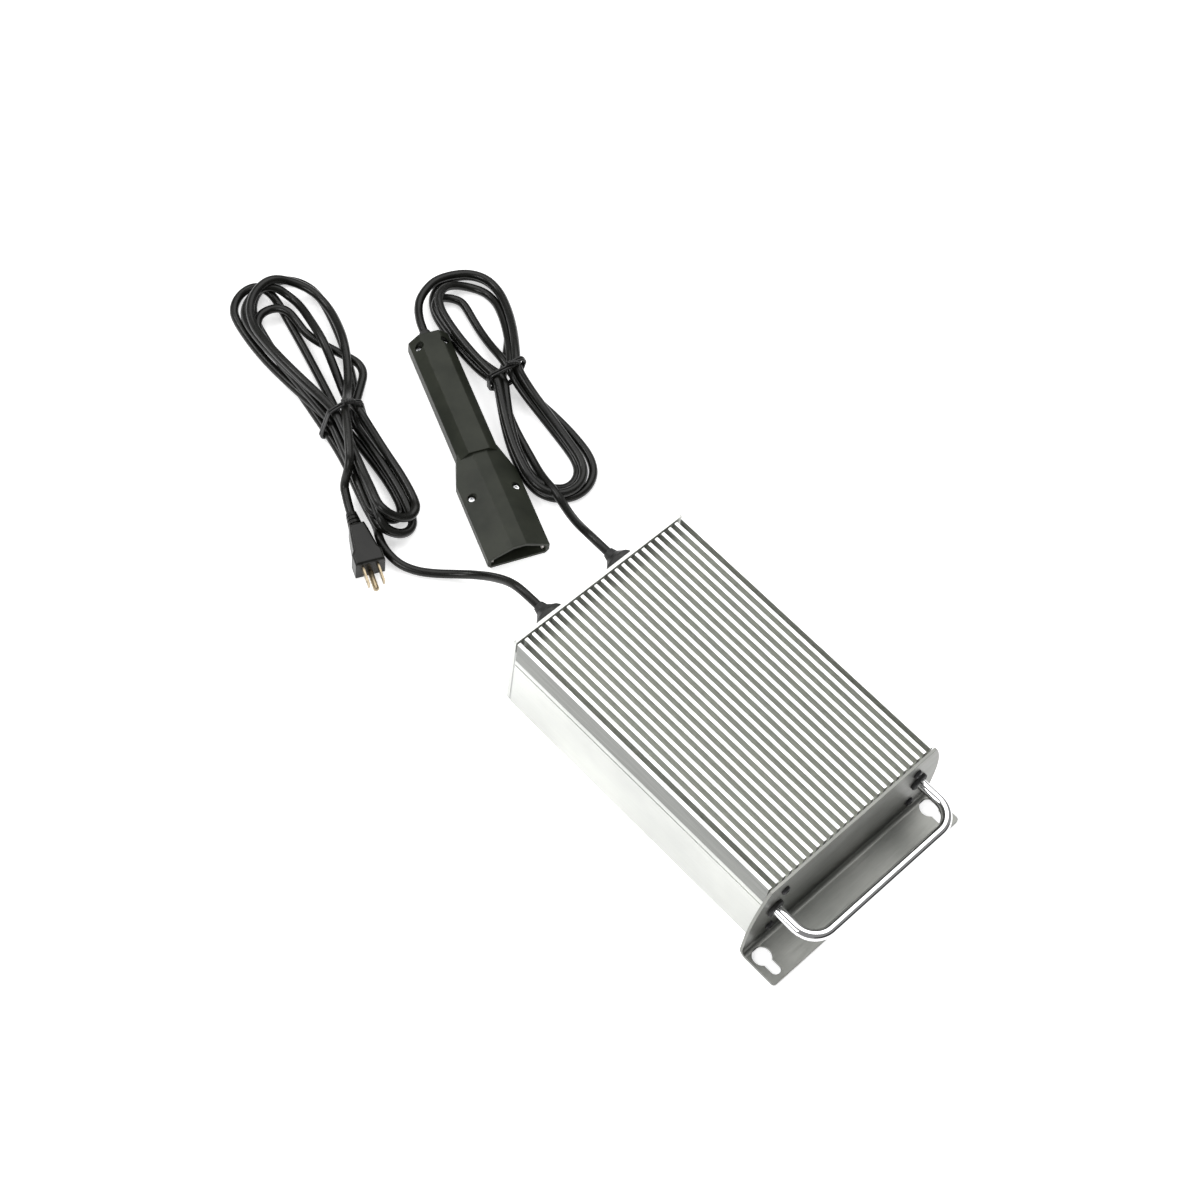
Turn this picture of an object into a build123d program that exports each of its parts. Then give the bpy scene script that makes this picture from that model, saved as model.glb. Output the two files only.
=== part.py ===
from build123d import *
import math
import os

# A sealed, fan-less battery charger with fixed leads.  Millimetres.
# +Z is up from the floor, +Y runs from the carry handle to the cable glands, and X is across the fins.
# The origin is on the floor, under the middle of the charger without its leads.

# ---- case ----
CASE_W = 180.0  # across the fins
CASE_L = 280.0  # bracket's outer face to rear panel's outer face
CASE_H = 90.0  # floor to fin tips
WALL = 3.0  # tray walls, tray floor and rear panel
BRACKET_T = 2.5  # sheet of the end bracket
GASKET_T = 1.5
SEAL_T = 1.0  # strip between tray walls and heatsink

# ---- fins ----
FIN_COUNT = 25
FIN_T = 3.0
SLOT_FLOOR_Z = 77.0  # bottom of the ordinary slots
EDGE_SLOT_FLOOR_Z = 70.5  # bottom of the outermost slot on each side
POCKET_L = 7.0  # deeper pocket at the cable end of each slot
DECK_Z = 67.0  # underside of the heatsink's deck
SEAM_Z = 66.0  # where the heatsink meets its seal

# ---- end bracket ----
FOOT_HALF_W = 105.5
FOOT_REACH = 35.0  # how far the foot runs out from the bracket's face
BEND_R = 5.0  # inside of the bend
SWEEP_Z = 30.0  # where the swept corners begin
SWEEP_MID = (100.4, 65.0)  # a point on the swept corner, (x, z)
KEYHOLE_X = 95.0
KEYHOLE_OUT = 12.0  # bracket's face to the middle of the keyhole's round end
KEYHOLE_R = 8.0
KEYHOLE_RUN = 14.0  # round end to the middle of the narrow end
KEYHOLE_NARROW_R = 4.5

# ---- handle ----
HANDLE_R = 4.5
HANDLE_X = 80.0
HANDLE_Z = 51.0
HANDLE_REACH = 45.5  # bracket's face to the outside of the grip
HANDLE_BEND_R = 19.0  # middle line of the bar
STUD_R = 3.0
WASHER_R = 8.0
WASHER_T = 3.0
HANDLE_NUT_AF = 10.0
HANDLE_NUT_T = 5.0

# ---- screws that close the ends ----
UPPER_SCREW = (73.0, 72.0)  # (x, z) in the heatsink's deck
LOWER_SCREW = (79.0, 17.0)  # (x, z) in the tray's screw ports
SCREW_R = 2.0
SCREW_HOLE_R = 2.1
SCREW_HEAD_R = 3.9
SCREW_HEAD_H = 2.6
SCREW_L = 16.0
PORT_SIZE = 10.0

# ---- glands ----
AC_X = -33.5
DC_X = 43.5
GLAND_Z = 45.0
GLAND_REACH = 28.0  # rear panel's face to the tip of the boot
GLAND_THREAD_R = 8.0
GLAND_FLANGE_AF = 24.0
GLAND_NUT_R = 13.2
GLAND_WASHER_T = 1.0
GLAND_FLANGE_T = 5.0
GLAND_NECK_R = 7.4
GLAND_NECK_L = 5.0
GLAND_NUT_L = 16.5
LOCKNUT_T = 4.0
CORD_R = 3.75

# ---- status lens ----
LENS_X = 7.5
LENS_Z = 60.0
LENS_R = 2.5

# ---- circuit board ----
BOARD_Z = 14.0
BOARD_T = 1.6
BOARD_HALF_W = 66.0
BOARD_HALF_L = 118.0
STANDOFF_AF = 7.0

# ---- power parts on the heat spreader ----
SPREADER_X = -50.0
SPREADER_T = 6.0
SPREADER_W = 26.0
SPREADER_HALF_L = 95.0
PAD_T = 0.5
TRANSISTOR_COUNT = 6
TRANSISTOR_PITCH = 30.0
TRANSISTOR_Z = 34.0
TRANSISTOR_T = 5.0
CLAMP_Z = TRANSISTOR_Z + 13.0
CLAMP_T = 3.0

# ---- terminal blocks ----
TERMINAL_PITCH = 8.0
TERMINAL_Y = 107.0
TERMINAL_H = 15.0

# ---- worked out from the above ----
FRONT_Y = -(CASE_L + GLAND_REACH - HANDLE_REACH) / 2  # bracket's outer face
REAR_Y = FRONT_Y + CASE_L  # rear panel's outer face
BODY_Y0 = FRONT_Y + BRACKET_T + GASKET_T
BODY_Y1 = REAR_Y - WALL - GASKET_T
BODY_MID_Y = (BODY_Y0 + BODY_Y1) / 2
HALF_W = CASE_W / 2
FIN_PITCH = (CASE_W - FIN_T) / (FIN_COUNT - 1)
BOARD_TOP = BOARD_Z + BOARD_T
TERMINAL_TOP = BOARD_TOP + TERMINAL_H

# ---- leads: middle lines of their free stretches, chosen by hand ----
CORD_LIFT = 0.25  # the leads lie this far above the floor
FLOOR_CORD_Z = CORD_R + CORD_LIFT
AC_ROUTE = [
    (AC_X, REAR_Y + GLAND_REACH, GLAND_Z),
    (AC_X, 194.0, GLAND_Z),
    (-33.0, 208.0, 40.2),
    (-32.8, 222.0, 29.0),
    (-34.0, 235.5, 17.5),
    (-39.0, 248.0, 9.5),
    (-47.5, 259.0, 5.5),
    (-57.3, 269.0, FLOOR_CORD_Z),
    (-67.2, 280.0, FLOOR_CORD_Z),
    (-73.8, 292.0, 4.6),
    (-76.0, 303.5, 6.0),
    (-75.4, 314.3, 8.0),
    (-72.2, 324.0, 9.5),
]
DC_ROUTE = [
    (DC_X, REAR_Y + GLAND_REACH, GLAND_Z),
    (DC_X, 190.0, GLAND_Z),
    (45.3, 203.5, 41.5),
    (49.5, 217.0, 33.0),
    (55.8, 232.5, 23.4),
    (62.8, 248.6, 15.8),
]
TAIL_ROUTE = [
    (92.72, 453.53, 12.5),
    (96.13, 461.86, 12.5),
    (101.0, 469.9, 12.2),
    (105.7, 476.3, 11.7),
]
# closed outlines of the tied hank and the tied loops, seen from above
HANK_OUTLINE = [
    (-66.5, 343.0), (-68.5, 323.0), (-58.0, 309.0), (-42.0, 311.0), (-30.0, 347.0), (-17.0, 390.0), (0.0, 434.0),
    (33.0, 448.0), (34.0, 474.0), (42.0, 512.0), (54.0, 541.0), (47.0, 572.0), (27.0, 586.0), (3.0, 583.0),
    (-16.0, 567.0), (-25.0, 534.0), (-33.0, 494.0), (-39.0, 445.0), (-53.0, 404.0), (-64.0, 382.0), (-70.5, 363.0),
]
HANK_H = 25.0
LOOPS_OUTLINE = [
    (51.0, 258.0), (66.0, 251.0), (90.0, 254.0), (116.0, 272.0), (131.0, 297.0), (136.0, 331.0), (126.0, 363.0),
    (143.0, 386.0), (160.0, 408.0), (177.0, 436.0), (181.0, 462.0), (169.0, 486.0), (142.0, 495.0), (117.0, 490.0),
    (109.0, 475.0), (111.0, 447.0), (106.0, 412.0), (92.0, 375.0), (81.0, 346.0), (69.0, 316.0), (55.0, 281.0),
]
LOOPS_H = 24.0
HANK_TIE = ((-20.0, 438.0), 19.0)  # (middle, half width) of the wire round the hank
LOOPS_TIE = ((105.0, 367.5), 15.5)

# ---- AC plug: flat-sided moulded body lying on the floor ----
PLUG_REAR = (-81.5, 341.0)
PLUG_FRONT = (-97.5, 305.0)
PLUG_W = 25.0
PLUG_H = 21.0
PLUG_NECK_L = 15.0

# ---- DC connector: two half shells, grip towards its cord ----
CONN_MOUTH = (4.0, 237.0)  # middle of the mouth on the floor
CONN_DIR = (0.379, 0.925)  # from the mouth to the cord
CONN_L = 225.0
HEAD_L = 103.0
HEAD_W = 54.0
HEAD_TAPER_L = 26.0
HEAD_EDGE_Z = 12.0  # top of the head's side walls
HEAD_H = 23.0
RIDGE_W = 12.0
GRIP_W = 36.0
GRIP_H = 25.0
GRIP_BEVEL = 9.0
CONN_SPLIT_Z = 8.0
SHELL_T = 3.0
MOUTH_DEPTH = 30.0
SEAT_W = 26.0  # seat of the contact carrier behind the mouth
SEAT_TOP_Z = 12.5
SEAT_END = 60.0
GROMMET_R = 8.0
GROMMET_L = 14.0
CONN_CORD_Z = 12.5
HEAD_SCREW_SEAT_Z = 11.0
GRIP_SCREW_SEAT_Z = 15.0
HEAD_SCREWS = [(60.0, 19.5), (60.0, -19.5)]
GRIP_SCREWS = [(CONN_L - 10.0, 11.5), (CONN_L - 10.0, -11.5)]


def box(x0, x1, y0, y1, z0, z1):
    """A block between two corners."""
    return Pos((x0 + x1) / 2, (y0 + y1) / 2, (z0 + z1) / 2) * Box(x1 - x0, y1 - y0, z1 - z0)


def rod(start, direction, radius, length):
    """A round bar from a point along a direction."""
    return Plane(origin=start, z_dir=direction) * Cylinder(
        radius, length, align=(Align.CENTER, Align.CENTER, Align.MIN)
    )


def hex_bar(start, direction, across_flats, length):
    """A six-sided bar from a point along a direction."""
    outline = RegularPolygon(across_flats / 2, 6, major_radius=False)
    return Plane(origin=start, z_dir=direction) * extrude(outline, length)


def ring(start, direction, outer_r, inner_r, length):
    """A washer, seal or spacer."""
    return rod(start, direction, outer_r, length) - rod(start, direction, inner_r, length)


def screw(seat, direction, head_r, head_h, shank_r, shank_l):
    """A button-head screw.  seat is under the head, and direction is the way the shank points."""
    head = Cylinder(head_r, head_h, align=(Align.CENTER, Align.CENTER, Align.MAX))
    head = fillet(head.edges().sort_by(Axis.Z)[0], head_h * 0.6)
    shank = Cylinder(shank_r, shank_l, align=(Align.CENTER, Align.CENTER, Align.MIN))
    socket = Pos(0, 0, -head_h) * extrude(RegularPolygon(head_r * 0.48, 6), head_h * 0.6)
    return Plane(origin=seat, z_dir=direction) * (head + shank - socket)


def outline_plate(points, height):
    """A flat solid on the floor whose closed outline is a smooth curve through the points."""
    edge = Spline(*[(x, y, 0) for x, y in points], periodic=True)
    return extrude(make_face(edge), height, dir=(0, 0, 1))


def arc_radii(points):
    """The radius of each arc of a lead: 0.45 of the shorter run over the tangent of half the turn."""
    radii = []
    for before, here, after in zip(points, points[1:], points[2:]):
        run_in = Vector(*here) - Vector(*before)
        run_out = Vector(*after) - Vector(*here)
        turn = math.radians(run_in.get_angle(run_out))
        radii.append(0.45 * min(run_in.length, run_out.length) / math.tan(turn / 2))
    return radii


def lead(name, points, radius):
    """A lead's tube: straight runs joined by tangent arcs."""
    radii = arc_radii(points)
    path = FilletPolyline(*points, radius=radii)
    start = Plane(origin=path @ 0, z_dir=path % 0)
    tube = sweep(start * Circle(radius), path=path)
    expected = math.pi * radius**2 * path.length
    print(name, "radii", [round(r, 1) for r in radii], "length", round(path.length, 1),
          "volume share", round(tube.volume / expected, 4))
    return tube


def save(name, *shapes):
    """Write one node: a single solid, or a group of separate solids."""
    solids = [solid for shape in shapes for solid in shape.solids()]
    export_step(solids[0] if len(solids) == 1 else Compound(solids), f"parts/{name}.step")


def end_screw_places():
    """(x, z) of the four screws that close either end of the case."""
    return [(side * x, z) for x, z in (UPPER_SCREW, LOWER_SCREW) for side in (-1, 1)]


# ---------------------------------------------------------------- case


def heatsink_cover():
    """The finned extrusion: deck, skirts, slots and the screw holes in its ends."""
    length = BODY_Y1 - BODY_Y0
    body = box(-HALF_W, HALF_W, BODY_Y0, BODY_Y1, SEAM_Z, CASE_H)
    body -= box(-HALF_W + 8, HALF_W - 8, BODY_Y0, BODY_Y1, SEAM_Z, DECK_Z)
    cuts = []
    for slot in range(FIN_COUNT - 1):
        x0 = -HALF_W + slot * FIN_PITCH + FIN_T
        x1 = x0 + FIN_PITCH - FIN_T
        at_edge = slot in (0, FIN_COUNT - 2)
        floor_z = EDGE_SLOT_FLOOR_Z if at_edge else SLOT_FLOOR_Z
        cuts.append(box(x0, x1, BODY_Y0, BODY_Y1, floor_z, CASE_H))
        if not at_edge:
            cuts.append(box(x0, x1, BODY_Y1 - POCKET_L, BODY_Y1, EDGE_SLOT_FLOOR_Z + 4, SLOT_FLOOR_Z))
    for x in (-UPPER_SCREW[0], UPPER_SCREW[0]):
        cuts.append(rod((x, BODY_Y0, UPPER_SCREW[1]), (0, 1, 0), SCREW_HOLE_R, length))
    return body - cuts


def cover_seals():
    """A strip of seal on each side wall of the tray."""
    return [
        box(x0, x0 + WALL, BODY_Y0, BODY_Y1, SEAM_Z - SEAL_T, SEAM_Z)
        for x0 in (-HALF_W, HALF_W - WALL)
    ]


def base_tray():
    """The lower extrusion: floor, two side walls, and a screw port along each bottom corner."""
    tray = box(-HALF_W, HALF_W, BODY_Y0, BODY_Y1, 0, SEAM_Z - SEAL_T)
    tray -= box(-HALF_W + WALL, HALF_W - WALL, BODY_Y0, BODY_Y1, WALL, SEAM_Z)
    x, z = LOWER_SCREW
    for side in (-1, 1):
        inner, outer = sorted((side * (x - PORT_SIZE / 2), side * (HALF_W - WALL)))
        tray += box(inner, outer, BODY_Y0, BODY_Y1, z - PORT_SIZE / 2, z + PORT_SIZE / 2)
    holes = [rod((side * x, BODY_Y0, z), (0, 1, 0), SCREW_HOLE_R, BODY_Y1 - BODY_Y0) for side in (-1, 1)]
    # a shallow line along each side, as such extrusions have under the seam
    holes += [
        box(x0, x0 + 1, BODY_Y0, BODY_Y1, SEAM_Z - 8, SEAM_Z - 6) for x0 in (-HALF_W, HALF_W - 1)
    ]
    return tray - holes


def end_gasket(y0, openings):
    """A flat gasket between the case's end and its end plate."""
    plate = box(-HALF_W + 0.5, HALF_W - 0.5, y0, y0 + GASKET_T, 0.5, EDGE_SLOT_FLOOR_Z + 5.5)
    plate -= box(-70, 70, y0, y0 + GASKET_T, 8, SEAM_Z - 2)
    return plate - [
        rod((x, y0, z), (0, 1, 0), radius, GASKET_T) for x, z, radius in openings
    ]


def front_bracket():
    """The end plate, bent out at the floor into a foot with a keyhole near each end."""
    outer_r = BEND_R + BRACKET_T
    arc = math.sqrt(0.5)
    back_y = FRONT_Y + BRACKET_T
    with BuildPart() as bracket:
        with BuildSketch(Plane.YZ) as side_view:
            with BuildLine():
                Polyline((FRONT_Y, CASE_H), (back_y, CASE_H), (back_y, outer_r))
                ThreePointArc(
                    (back_y, outer_r),
                    (back_y - outer_r + outer_r * arc, outer_r - outer_r * arc),
                    (back_y - outer_r, 0),
                )
                Polyline(
                    (back_y - outer_r, 0), (FRONT_Y - FOOT_REACH, 0),
                    (FRONT_Y - FOOT_REACH, BRACKET_T), (FRONT_Y - BEND_R, BRACKET_T),
                )
                ThreePointArc(
                    (FRONT_Y - BEND_R, BRACKET_T),
                    (FRONT_Y - BEND_R + BEND_R * arc, outer_r - BEND_R * arc),
                    (FRONT_Y, outer_r),
                )
                Line((FRONT_Y, outer_r), (FRONT_Y, CASE_H))
            make_face()
        extrude(amount=FOOT_HALF_W, both=True)
        with BuildSketch(Plane.XZ.offset(-back_y)) as face_view:
            with BuildLine():
                Polyline((-HALF_W - 0.5, CASE_H), (HALF_W + 0.5, CASE_H))
                ThreePointArc((HALF_W + 0.5, CASE_H), SWEEP_MID, (FOOT_HALF_W, SWEEP_Z))
                Polyline(
                    (FOOT_HALF_W, SWEEP_Z), (FOOT_HALF_W, 0), (-FOOT_HALF_W, 0), (-FOOT_HALF_W, SWEEP_Z)
                )
                ThreePointArc(
                    (-FOOT_HALF_W, SWEEP_Z), (-SWEEP_MID[0], SWEEP_MID[1]), (-HALF_W - 0.5, CASE_H)
                )
            make_face()
        extrude(amount=FOOT_REACH + BRACKET_T, mode=Mode.INTERSECT)
    solid = bracket.part
    corners = solid.edges().filter_by(Axis.Z).group_by(Axis.Y)[0]
    solid = fillet(corners, 3)
    holes = []
    for side in (-1, 1):
        x = side * KEYHOLE_X
        y = FRONT_Y - KEYHOLE_OUT
        holes.append(rod((x, y, 0), (0, 0, 1), KEYHOLE_R, BRACKET_T))
        holes.append(rod((x, y - KEYHOLE_RUN, 0), (0, 0, 1), KEYHOLE_NARROW_R, BRACKET_T))
        holes.append(
            box(x - KEYHOLE_NARROW_R, x + KEYHOLE_NARROW_R, y - KEYHOLE_RUN, y, 0, BRACKET_T)
        )
        holes.append(rod((side * HANDLE_X, FRONT_Y, HANDLE_Z), (0, 1, 0), STUD_R + 0.2, BRACKET_T))
    for x, z in end_screw_places():
        holes.append(rod((x, FRONT_Y, z), (0, 1, 0), SCREW_HOLE_R, BRACKET_T))
    return solid - holes


def rear_panel():
    """The flat end plate that carries the two glands and the status lens."""
    y0 = REAR_Y - WALL
    panel = box(-HALF_W, HALF_W, y0, REAR_Y, 0, CASE_H)
    panel = fillet(panel.edges().filter_by(Axis.Y), 2)
    holes = [rod((x, y0, GLAND_Z), (0, 1, 0), GLAND_THREAD_R + 0.1, WALL) for x in (AC_X, DC_X)]
    holes += [rod((x, y0, z), (0, 1, 0), SCREW_HOLE_R, WALL) for x, z in end_screw_places()]
    holes.append(rod((LENS_X, y0, LENS_Z), (0, 1, 0), LENS_R, WALL))
    return panel - holes


def status_lens():
    """A domed light guide pressed into the rear panel."""
    guide = rod((LENS_X, REAR_Y - WALL - 4, LENS_Z), (0, 1, 0), LENS_R, WALL + 4)
    dome = Pos(LENS_X, REAR_Y, LENS_Z) * Sphere(LENS_R)
    return guide + (dome & box(0, 15, REAR_Y, REAR_Y + LENS_R, 50, 70))


# ---------------------------------------------------------------- handle


def carry_handle():
    """A fixed U of round bar, with a stud at each end that passes through the bracket."""
    root_y = FRONT_Y - WASHER_T
    grip_y = FRONT_Y - HANDLE_REACH + HANDLE_R
    path = FilletPolyline(
        (-HANDLE_X, root_y, HANDLE_Z), (-HANDLE_X, grip_y, HANDLE_Z),
        (HANDLE_X, grip_y, HANDLE_Z), (HANDLE_X, root_y, HANDLE_Z),
        radius=HANDLE_BEND_R,
    )
    bar = sweep(Plane(origin=path @ 0, z_dir=path % 0) * Circle(HANDLE_R), path=path)
    stud_l = WASHER_T + BRACKET_T + HANDLE_NUT_T + 2
    for side in (-1, 1):
        bar += rod((side * HANDLE_X, root_y, HANDLE_Z), (0, 1, 0), STUD_R, stud_l)
    return bar


def handle_washers():
    """Dark washers between the bar's shoulders and the bracket, with a rounded rim."""
    washers = []
    for side in (-1, 1):
        start = (side * HANDLE_X, FRONT_Y - WASHER_T, HANDLE_Z)
        washer = ring(start, (0, 1, 0), WASHER_R, STUD_R, WASHER_T)
        rim = washer.edges().filter_by(GeomType.CIRCLE).group_by(Axis.Y)[0].sort_by(SortBy.RADIUS)[-1]
        washers.append(fillet(rim, 1.2))
    return washers


def handle_nuts():
    y0 = FRONT_Y + BRACKET_T
    return [
        hex_bar((side * HANDLE_X, y0, HANDLE_Z), (0, 1, 0), HANDLE_NUT_AF, HANDLE_NUT_T)
        - rod((side * HANDLE_X, y0, HANDLE_Z), (0, 1, 0), STUD_R, HANDLE_NUT_T)
        for side in (-1, 1)
    ]


def end_screws(seat_y, towards):
    return [
        screw((x, seat_y, z), (0, towards, 0), SCREW_HEAD_R, SCREW_HEAD_H, SCREW_R, SCREW_L)
        for x, z in end_screw_places()
    ]


# ---------------------------------------------------------------- glands

def gland_body(x):
    """The threaded barrel with its six-sided flange, clamped through the rear panel."""
    y1 = REAR_Y + GLAND_WASHER_T
    inside = WALL + LOCKNUT_T + 2
    body = hex_bar((x, y1, GLAND_Z), (0, 1, 0), GLAND_FLANGE_AF, GLAND_FLANGE_T)
    body += rod((x, REAR_Y - inside, GLAND_Z), (0, 1, 0), GLAND_THREAD_R, inside + GLAND_WASHER_T)
    body += rod((x, y1 + GLAND_FLANGE_T, GLAND_Z), (0, 1, 0), GLAND_NECK_R, GLAND_NECK_L)
    return body - rod((x, REAR_Y - inside, GLAND_Z), (0, 1, 0), CORD_R + 0.6, 40)


def gland_washer(x):
    return ring((x, REAR_Y, GLAND_Z), (0, 1, 0), 12.8, GLAND_THREAD_R, GLAND_WASHER_T)


def gland_locknut(x):
    y0 = REAR_Y - WALL - LOCKNUT_T
    return hex_bar((x, y0, GLAND_Z), (0, 1, 0), GLAND_FLANGE_AF - 2, LOCKNUT_T) - rod(
        (x, y0, GLAND_Z), (0, 1, 0), GLAND_THREAD_R, LOCKNUT_T
    )


def gland_dome_nut(x):
    """The flared dome nut: a turned shape with six grip flats cut around its skirt."""
    y0 = REAR_Y + GLAND_WASHER_T + GLAND_FLANGE_T
    profile = Polyline(
        (GLAND_NECK_R, 0), (GLAND_NUT_R - 1, 0), (GLAND_NUT_R, 1.5), (GLAND_NUT_R, 9.5), (12.0, 11.5),
        (9.2, 14.0), (6.8, GLAND_NUT_L), (5.6, GLAND_NUT_L), (5.6, GLAND_NECK_L),
        (GLAND_NECK_R, GLAND_NECK_L), close=True,
    )
    turned = revolve(Plane.XZ * make_face(profile), Axis.Z)
    flats = extrude(RegularPolygon(GLAND_NUT_R - 1.1, 6, major_radius=False), GLAND_NUT_L)
    return Plane(origin=(x, y0, GLAND_Z), z_dir=(0, 1, 0)) * (turned & flats)


def gland_seal(x):
    """The rubber sleeve that the dome nut squeezes on to the cord, with its tapered boot outside."""
    y0 = REAR_Y + GLAND_WASHER_T + GLAND_FLANGE_T + GLAND_NECK_L
    boot_y = y0 + GLAND_NUT_L - GLAND_NECK_L
    tip = GLAND_REACH - (boot_y - REAR_Y)
    sleeve = rod((x, y0, GLAND_Z), (0, 1, 0), 5.6, boot_y - y0)
    boot = Plane(origin=(x, boot_y, GLAND_Z), z_dir=(0, 1, 0)) * Cone(
        6.2, 4.7, tip, align=(Align.CENTER, Align.CENTER, Align.MIN)
    )
    return sleeve + boot - rod((x, y0, GLAND_Z), (0, 1, 0), CORD_R, GLAND_REACH)


def inner_cable(x, block_x, wire_count):
    """The lead's end inside the case: its jacket, and one wire to each terminal."""
    jacket_y = REAR_Y - 14.0
    pieces = [rod((x, jacket_y, GLAND_Z), (0, 1, 0), CORD_R, REAR_Y + GLAND_REACH - jacket_y)]
    for i in range(wire_count):
        start_x = x + (i - (wire_count - 1) / 2) * 2.4
        end_x = block_x + (i - (wire_count - 1) / 2) * TERMINAL_PITCH
        route = [
            (start_x, jacket_y, GLAND_Z), (start_x, jacket_y - 9, GLAND_Z),
            (end_x, TERMINAL_Y, TERMINAL_TOP + 11), (end_x, TERMINAL_Y, TERMINAL_TOP),
        ]
        path = FilletPolyline(*route, radius=3.2)
        pieces.append(sweep(Plane(origin=path @ 0, z_dir=path % 0) * Circle(1.1), path=path))
    return pieces


# ---------------------------------------------------------------- inside the case

def board_points():
    """(x, y) of the circuit board's standoffs."""
    return [(x, BODY_MID_Y + y) for x in (-60.0, 60.0) for y in (-108.0, 0.0, 108.0)]


def main_circuit_board():
    board = box(
        -BOARD_HALF_W, BOARD_HALF_W, BODY_MID_Y - BOARD_HALF_L, BODY_MID_Y + BOARD_HALF_L,
        BOARD_Z, BOARD_TOP,
    )
    board = fillet(board.edges().filter_by(Axis.Z), 3)
    return board - [rod((x, y, BOARD_Z), (0, 0, 1), 1.7, BOARD_T) for x, y in board_points()]


def board_standoffs():
    return [
        hex_bar((x, y, WALL), (0, 0, 1), STANDOFF_AF, BOARD_Z - WALL)
        - rod((x, y, WALL + 3), (0, 0, 1), 1.6, BOARD_Z - WALL - 3)
        for x, y in board_points()
    ]


def board_screws():
    return [
        screw((x, y, BOARD_TOP), (0, 0, -1), 2.9, 1.9, 1.5, BOARD_T + 5) for x, y in board_points()
    ]


def heat_spreader():
    """An aluminium angle that carries the transistors' heat up into the heatsink's deck."""
    y0, y1 = BODY_MID_Y - SPREADER_HALF_L, BODY_MID_Y + SPREADER_HALF_L
    top = DECK_Z - PAD_T
    web = box(SPREADER_X, SPREADER_X + SPREADER_T, y0, y1, 26, top)
    flange = box(SPREADER_X, SPREADER_X + SPREADER_W, y0, y1, top - 5, top)
    return web + flange - [
        rod((SPREADER_X, y, CLAMP_Z), (1, 0, 0), 1.5, SPREADER_T) for y in clamp_screw_places()
    ]


def transistor_places():
    middle = (TRANSISTOR_COUNT - 1) / 2
    return [BODY_MID_Y + (i - middle) * TRANSISTOR_PITCH for i in range(TRANSISTOR_COUNT)]


def clamp_screw_places():
    """One clamp screw between each pair of transistors."""
    places = transistor_places()
    return [(a + b) / 2 for a, b in zip(places, places[1:])]


def thermal_pad():
    y0, y1 = BODY_MID_Y - SPREADER_HALF_L, BODY_MID_Y + SPREADER_HALF_L
    return box(SPREADER_X, SPREADER_X + SPREADER_W, y0, y1, DECK_Z - PAD_T, DECK_Z)


def power_transistors():
    """Flat power packages against the spreader, each with three legs down to the board."""
    x1 = SPREADER_X
    x0 = x1 - TRANSISTOR_T
    packages = []
    for y in transistor_places():
        package = box(x0, x1, y - 8, y + 8, TRANSISTOR_Z, TRANSISTOR_Z + 21)
        for leg in (-5.45, 0, 5.45):
            package += box(x0 + 2, x0 + 2.7, y + leg - 0.7, y + leg + 0.7, BOARD_TOP, TRANSISTOR_Z)
        packages.append(package)
    return packages


def transistor_clamp_bar():
    x1 = SPREADER_X - TRANSISTOR_T
    half = SPREADER_HALF_L - 5
    bar = box(x1 - CLAMP_T, x1, BODY_MID_Y - half, BODY_MID_Y + half, CLAMP_Z - 5, CLAMP_Z + 5)
    return bar - [rod((x1 - CLAMP_T, y, CLAMP_Z), (1, 0, 0), 1.6, CLAMP_T) for y in clamp_screw_places()]


def clamp_screws():
    seat_x = SPREADER_X - TRANSISTOR_T - CLAMP_T
    return [screw((seat_x, y, CLAMP_Z), (1, 0, 0), 3.0, 2.0, 1.5, 13) for y in clamp_screw_places()]


def transformer():
    """(core, winding) of the main transformer, on the board's middle."""
    x, y = 12.0, BODY_MID_Y + 8.0
    half_l, half_w, height = 24.0, 19.0, 40.0
    z0 = BOARD_TOP + 2
    core = box(x - half_w, x + half_w, y - half_l, y + half_l, z0, z0 + height)
    windows = [
        box(x - half_w, x + half_w, y + side - 7, y + side + 7, z0 + 8, z0 + height - 8) for side in (-15, 15)
    ]
    core -= windows
    winding = box(x - half_w - 7, x + half_w + 7, y - 19, y + 19, z0 + 9, z0 + height - 9)
    winding = fillet(winding.edges().filter_by(Axis.Z), 6)
    winding -= box(x - half_w, x + half_w, y - 8, y + 8, z0 + 9, z0 + height - 9)
    feet = [
        box(x + sx * 18 - 2, x + sx * 18 + 2, y + sy * 12 - 2, y + sy * 12 + 2, BOARD_TOP, z0)
        for sx in (-1, 1) for sy in (-1, 1)
    ]
    for foot in feet:
        core += foot
    return core, winding


def wound_ring(x, y, outer_r, inner_r, width, turns, wire_r):
    """A ring-core coil standing on the board: (core, its turns of wire as separate loops)."""
    z = BOARD_TOP + outer_r + 3 * wire_r
    plane = Plane(origin=(x, y - width / 2, z), z_dir=(0, 1, 0))
    core = plane * (
        Cylinder(outer_r, width, align=(Align.CENTER, Align.CENTER, Align.MIN))
        - Cylinder(inner_r, width, align=(Align.CENTER, Align.CENTER, Align.MIN))
    )
    across = outer_r - inner_r
    middle_r = (outer_r + inner_r) / 2
    loops = []
    for i in range(turns):
        angle = 360 * i / turns
        outer = Rectangle(across + 4 * wire_r, width + 4 * wire_r)
        inner = Rectangle(across + wire_r, width + wire_r)
        loop = extrude(outer - inner, wire_r, both=True)
        loops.append(plane * Rot(0, 0, angle) * Pos(middle_r, 0, width / 2) * Rot(90, 0, 0) * loop)
    return core, loops


def bulk_capacitors():
    """Three electrolytic cans with a rolled groove near the board."""
    cans = []
    for i in range(3):
        can = Cylinder(12.5, 42, align=(Align.CENTER, Align.CENTER, Align.MIN))
        can = fillet(can.edges(), 1.5)
        groove = Pos(0, 0, 5) * Torus(13.2, 1.5)
        cans.append(Pos(-16 + i * 28, BODY_MID_Y + 62, BOARD_TOP) * (can - groove))
    return cans


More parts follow.
